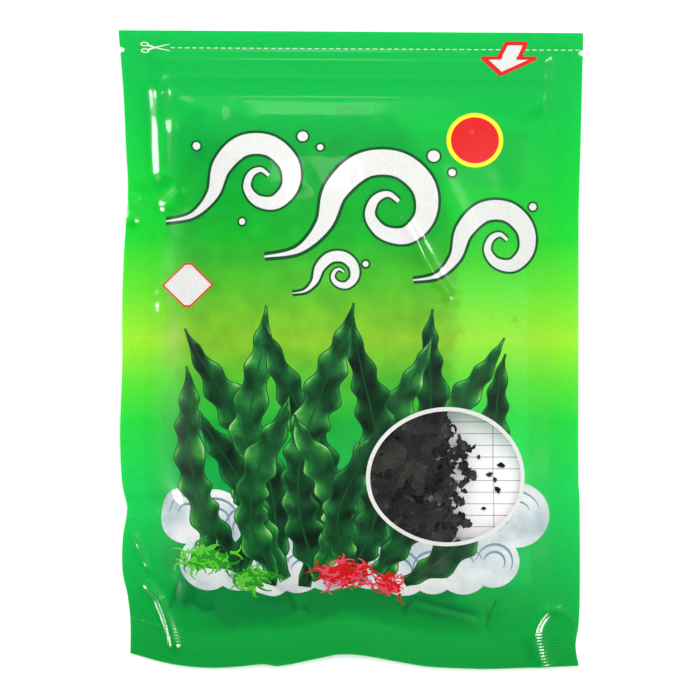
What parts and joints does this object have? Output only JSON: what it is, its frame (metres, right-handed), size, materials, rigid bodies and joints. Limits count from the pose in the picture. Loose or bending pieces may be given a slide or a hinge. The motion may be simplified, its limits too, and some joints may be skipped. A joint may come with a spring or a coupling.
{
  "type": "zip-top film pouch of dried cut wakame",
  "caption": "Flat heat-sealed film pouch with a press zip, tear notches and a clear oval window, lying on its back and filled with crinkled dried wakame.",
  "frame": {"origin": "centre of the pouch's outline, on the surface that its back lies on", "axes": "+Y up the front towards the zip, +X to the right of the front, +Z out of the front"},
  "size_m": [0.16, 0.2198, 0.0209],
  "materials": {
    "front_film": "glossy translucent laminate, printed green with a yellow-green middle and a clear oval window",
    "back_film": "glossy translucent laminate, printed green with a blank white table",
    "zip_plastic": "clear, slightly milky polyethylene",
    "wakame": "dried seaweed, nearly black green, dull and finely wrinkled"
  },
  "bodies": {
    "root": {"front_film": "front_film", "back_film": "back_film", "zip_groove": "zip_plastic", "zip_ridge": "zip_plastic", "wakame_heap": "wakame", "crumb_1": "wakame", "crumb_2": "wakame", "crumb_3": "wakame", "crumb_4": "wakame", "crumb_5": "wakame"}
  },
  "joints": []
}
